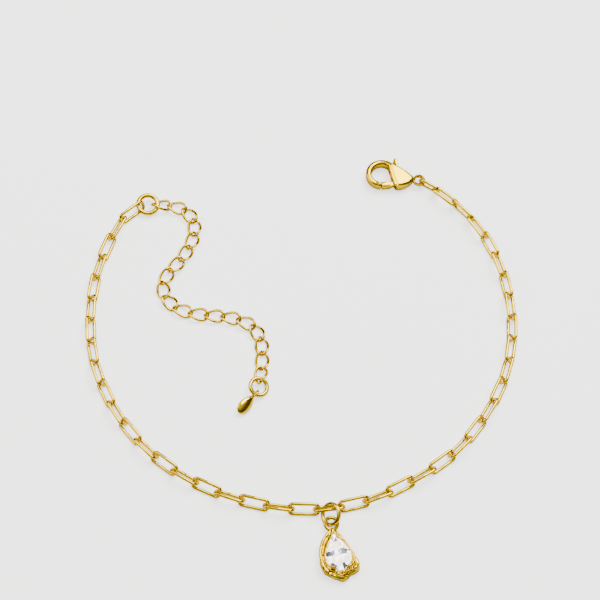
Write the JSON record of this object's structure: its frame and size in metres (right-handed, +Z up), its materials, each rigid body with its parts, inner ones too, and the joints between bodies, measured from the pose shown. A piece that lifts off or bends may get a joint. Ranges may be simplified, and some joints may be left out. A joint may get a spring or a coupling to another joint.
{
  "type": "charm bracelet",
  "caption": "Fine gold-coloured oval-link chain bracelet with a lobster clasp, a curb extender with a leaf tag, and a pear-cut clear stone charm in a rough cast setting.",
  "frame": {"origin": "middle of the bracelet's footprint, on the surface it lies on", "axes": "+Z up from the table; +Y from the hanging charm towards the clasp; +X from the end ring's side towards the side with the clasp"},
  "size_m": [0.0728, 0.0788, 0.0031],
  "materials": {
    "gold": "polished gold plate",
    "stone": "clear, cut and polished"
  },
  "bodies": {
    "bracelet": {"link_01": "gold", "link_02": "gold", "link_03": "gold", "link_04": "gold", "link_05": "gold", "link_06": "gold", "link_07": "gold", "link_08": "gold", "link_09": "gold", "link_10": "gold", "link_11": "gold", "link_12": "gold", "link_13": "gold", "link_14": "gold", "link_15": "gold", "link_16": "gold", "link_17": "gold", "link_18": "gold", "link_19": "gold", "link_20": "gold", "link_21": "gold", "link_22": "gold", "link_23": "gold", "link_24": "gold", "link_25": "gold", "link_26": "gold", "link_27": "gold", "link_28": "gold", "link_29": "gold", "link_30": "gold", "link_31": "gold", "link_32": "gold", "link_33": "gold", "link_34": "gold", "link_35": "gold", "link_36": "gold", "link_37": "gold", "link_38": "gold", "link_39": "gold", "link_40": "gold", "clasp_link": "gold", "clasp_body": "gold", "end_ring": "gold", "extender_chain": "gold", "tag_ring": "gold", "end_tag": "gold", "charm_ring": "gold", "charm_setting": "gold", "stone": "stone"},
    "clasp_lever": {"clasp_lever": "gold"}
  },
  "joints": [
    {"name": "clasp_lever_hinge", "type": "hinge", "parent": "bracelet", "child": "clasp_lever", "pos_m": [0.01716, 0.03521, 0.00105], "axis": [0, 0, -1], "range_deg": [0, 25], "stiffness_Nm_per_rad": 0.001, "springref_deg": -11.46}
  ]
}
